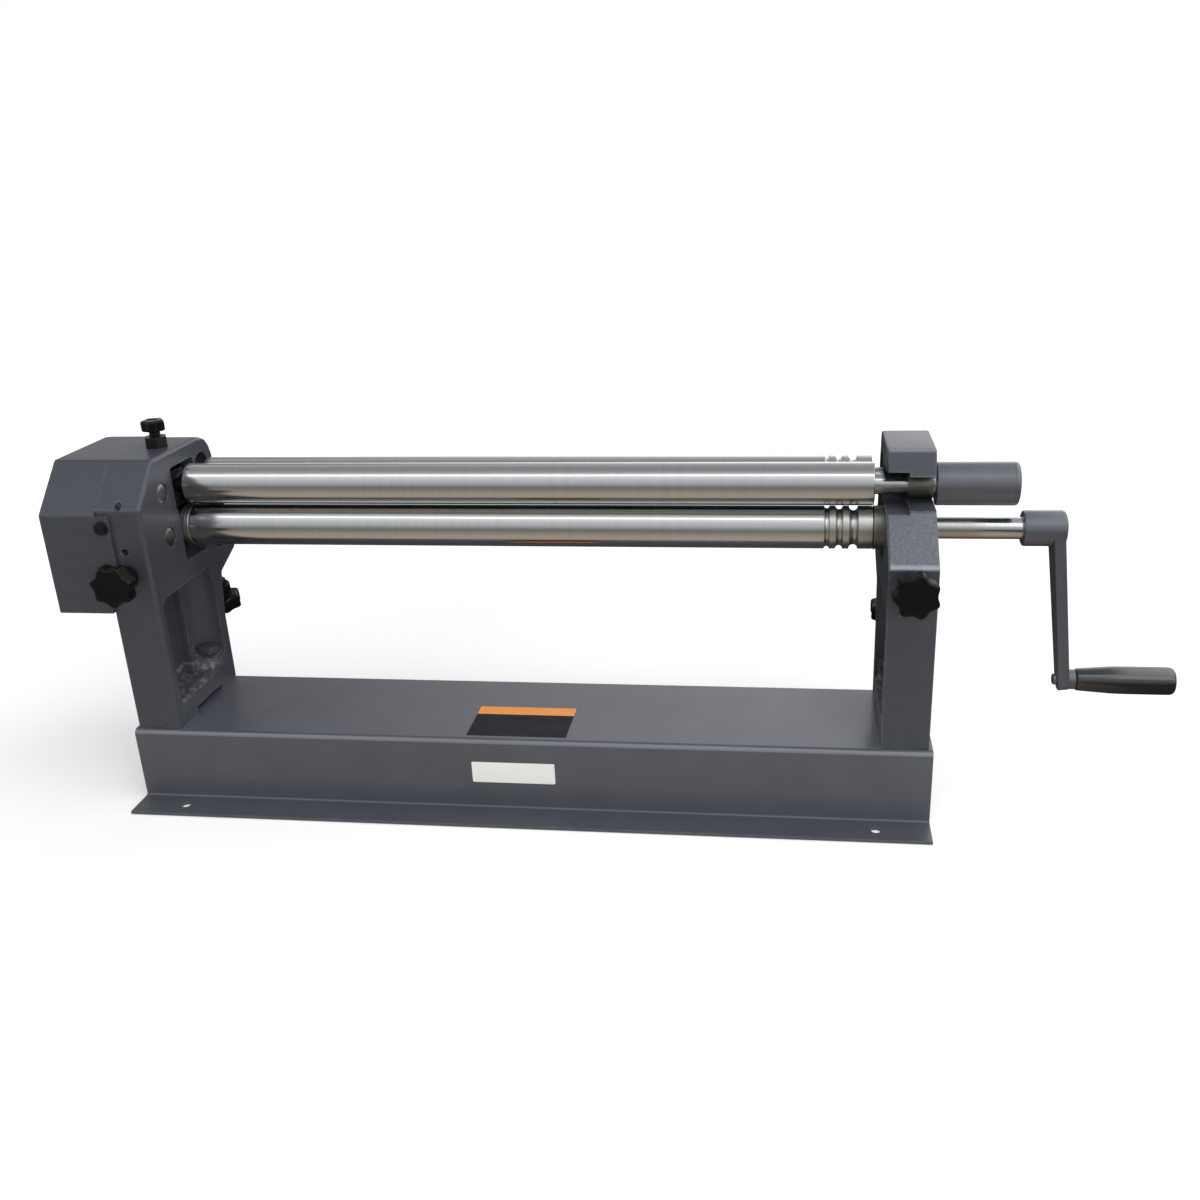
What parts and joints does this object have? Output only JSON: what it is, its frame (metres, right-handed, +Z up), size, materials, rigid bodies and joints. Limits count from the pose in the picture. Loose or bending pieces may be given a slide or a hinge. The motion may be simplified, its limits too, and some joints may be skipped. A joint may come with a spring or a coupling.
{
  "type": "slip roll",
  "caption": "Hand-cranked bench slip roll: steel rolls between cast stands on a bent sheet base, for bending sheet metal into curves.",
  "frame": {"origin": "centre of the bounding box on the bench surface", "axes": "+X along the rolls towards the crank, +Y to the rear, +Z up; the front with the star knobs faces -Y"},
  "size_m": [0.969, 0.1958, 0.336],
  "materials": {
    "base_paint": "smooth satin dark grey paint on bent sheet",
    "cast_paint": "satin dark grey paint on castings, rougher in the pockets",
    "crank_paint": "satin grey paint",
    "roll_steel": "ground and polished, fine lines round the roll",
    "pin_steel": "ground bright",
    "machined_steel": "milled, lightly oiled",
    "gear_steel": "hobbed teeth, greased",
    "black_oxide": "black oxide",
    "zinc_steel": "zinc plated",
    "bronze": "dull bearing bronze",
    "black_plastic": "moulded black thermoset",
    "grip_plastic": "glossy black thermoset"
  },
  "bodies": {
    "frame": {"base_channel": "base_paint", "left_stand": "cast_paint", "right_stand": "cast_paint", "gear_cover": "cast_paint", "cover_bolt_upper": "black_oxide", "cover_bolt_lower": "black_oxide", "cover_bolt_rear": "black_oxide", "foot_bolt_left_front": "black_oxide", "foot_nut_left_front": "black_oxide", "foot_bolt_left_rear": "black_oxide", "foot_nut_left_rear": "black_oxide", "foot_bolt_right_front": "black_oxide", "foot_nut_right_front": "black_oxide", "foot_bolt_right_rear": "black_oxide", "foot_nut_right_rear": "black_oxide", "upper_idler_pin": "pin_steel", "lower_idler_pin": "pin_steel", "upper_idler_ring": "zinc_steel", "lower_idler_ring": "zinc_steel", "upper_set_screw": "zinc_steel", "lower_set_screw": "zinc_steel", "upper_pivot_seat": "black_oxide"},
    "wedge_left": {"wedge_left": "machined_steel"},
    "wedge_right": {"wedge_right": "machined_steel"},
    "wedge_screw_left": {"wedge_screw_left": "zinc_steel", "front_knob_left": "black_plastic"},
    "wedge_screw_right": {"wedge_screw_right": "zinc_steel", "front_knob_right": "black_plastic"},
    "lower_bearings": {"lower_bearing_left": "machined_steel", "lower_bearing_right": "machined_steel"},
    "lower_roll": {"lower_roll": "roll_steel", "lower_collar_left": "zinc_steel", "lower_collar_right": "zinc_steel", "lower_roll_gear": "gear_steel", "lower_roll_ring": "zinc_steel", "crank_arm": "crank_paint", "crank_key": "zinc_steel", "grip_spindle": "pin_steel"},
    "crank_grip": {"crank_grip": "grip_plastic"},
    "lower_idler": {"lower_idler_gear": "gear_steel"},
    "upper_idler": {"upper_idler_gear": "gear_steel"},
    "upper_swing": {"upper_pivot_block": "machined_steel", "upper_roll_bush": "bronze"},
    "upper_roll": {"upper_roll": "roll_steel", "upper_roll_lift_grip": "crank_paint", "upper_roll_gear": "gear_steel", "upper_roll_ring": "zinc_steel"},
    "rear_bearings": {"rear_bearing_left": "machined_steel", "rear_bearing_right": "machined_steel"},
    "rear_roll": {"rear_roll": "roll_steel"},
    "lift_screw_left": {"lift_screw_left": "zinc_steel", "rear_knob_left": "black_plastic"},
    "lift_screw_right": {"lift_screw_right": "zinc_steel", "rear_knob_right": "black_plastic"},
    "clamp_pad": {"clamp_pad": "bronze"},
    "clamp_screw": {"clamp_screw": "black_oxide", "clamp_knob": "black_plastic"},
    "lock_nut": {"clamp_lock_nut": "black_oxide"}
  },
  "joints": [
    {"name": "lower_roll_lift", "type": "slide", "parent": "frame", "child": "lower_bearings", "axis": [0, 0, 1], "range_m": [-0.0009, 0.0009]},
    {"name": "wedge_screw_turn_left", "type": "hinge", "parent": "frame", "child": "wedge_screw_left", "pos_m": [-0.41423, 0.02026, 0.2185], "axis": [0, 1, 0], "range_deg": [-1441, 1441]},
    {"name": "wedge_screw_turn_right", "type": "hinge", "parent": "frame", "child": "wedge_screw_right", "pos_m": [0.25037, 0.02026, 0.2185], "axis": [0, 1, 0], "range_deg": [-1441, 1441]},
    {"name": "wedge_slide_left", "type": "slide", "parent": "frame", "child": "wedge_left", "axis": [0, 1, 0], "range_m": [-0.00601, 0.00601]},
    {"name": "wedge_slide_right", "type": "slide", "parent": "frame", "child": "wedge_right", "axis": [0, 1, 0], "range_m": [-0.00601, 0.00601]},
    {"name": "crank_turn", "type": "hinge", "parent": "lower_bearings", "child": "lower_roll", "pos_m": [-0.08303, 0.02026, 0.2386], "axis": [1, 0, 0], "continuous": true},
    {"name": "crank_grip_spin", "type": "hinge", "parent": "lower_roll", "child": "crank_grip", "pos_m": [0.40197, 0.02026, 0.0996], "axis": [1, 0, 0], "continuous": true},
    {"name": "lower_idler_turn", "type": "hinge", "parent": "frame", "child": "lower_idler", "pos_m": [-0.44303, -0.01974, 0.2392], "axis": [1, 0, 0], "continuous": true},
    {"name": "upper_idler_turn", "type": "hinge", "parent": "frame", "child": "upper_idler", "pos_m": [-0.44303, -0.01974, 0.2792], "axis": [1, 0, 0], "continuous": true},
    {"name": "upper_roll_swing", "type": "hinge", "parent": "frame", "child": "upper_swing", "pos_m": [-0.41423, 0.02026, 0.2773], "axis": [0, 0, -1], "range_deg": [0, 12]},
    {"name": "upper_roll_turn", "type": "hinge", "parent": "upper_swing", "child": "upper_roll", "pos_m": [-0.08303, 0.02026, 0.2773], "axis": [1, 0, 0], "continuous": true},
    {"name": "rear_roll_lift", "type": "slide", "parent": "frame", "child": "rear_bearings", "axis": [0, -0.1392, 0.9903], "range_m": [-0.045, 0.002]},
    {"name": "rear_roll_spin", "type": "hinge", "parent": "rear_bearings", "child": "rear_roll", "pos_m": [-0.08303, 0.05876, 0.2728], "axis": [1, 0, 0], "continuous": true},
    {"name": "lift_screw_turn_left", "type": "hinge", "parent": "rear_bearings", "child": "lift_screw_left", "pos_m": [-0.40873, 0.05876, 0.2728], "axis": [0, -0.1392, 0.9903], "range_deg": [-10801, 481]},
    {"name": "lift_screw_turn_right", "type": "hinge", "parent": "rear_bearings", "child": "lift_screw_right", "pos_m": [0.24487, 0.05876, 0.2728], "axis": [0, -0.1392, 0.9903], "range_deg": [-10801, 481]},
    {"name": "clamp_pad_slide", "type": "slide", "parent": "frame", "child": "clamp_pad", "axis": [0, 0, 1], "range_m": [0, 0.003]},
    {"name": "clamp_screw_turn", "type": "hinge", "parent": "clamp_pad", "child": "clamp_screw", "pos_m": [-0.41423, 0.02026, 0.32], "axis": [0, 0, 1], "range_deg": [0, 1081]},
    {"name": "lock_nut_turn", "type": "hinge", "parent": "frame", "child": "lock_nut", "pos_m": [-0.41423, 0.02026, 0.316], "axis": [0, 0, 1], "range_deg": [0, 60]}
  ],
  "couplings": [
    {"joint": "wedge_screw_turn_left", "follows": "lower_roll_lift", "rad_per_m": -27925},
    {"joint": "wedge_screw_turn_right", "follows": "lower_roll_lift", "rad_per_m": -27925},
    {"joint": "wedge_slide_left", "follows": "lower_roll_lift", "ratio": -6.6667},
    {"joint": "wedge_slide_right", "follows": "lower_roll_lift", "ratio": -6.6667},
    {"joint": "lower_idler_turn", "follows": "crank_turn", "ratio": -1},
    {"joint": "upper_idler_turn", "follows": "crank_turn", "ratio": 1},
    {"joint": "upper_roll_turn", "follows": "crank_turn", "ratio": -1},
    {"joint": "lift_screw_turn_left", "follows": "rear_roll_lift", "rad_per_m": 4188.8},
    {"joint": "lift_screw_turn_right", "follows": "rear_roll_lift", "rad_per_m": 4188.8},
    {"joint": "clamp_screw_turn", "follows": "clamp_pad_slide", "rad_per_m": 6283.2}
  ]
}
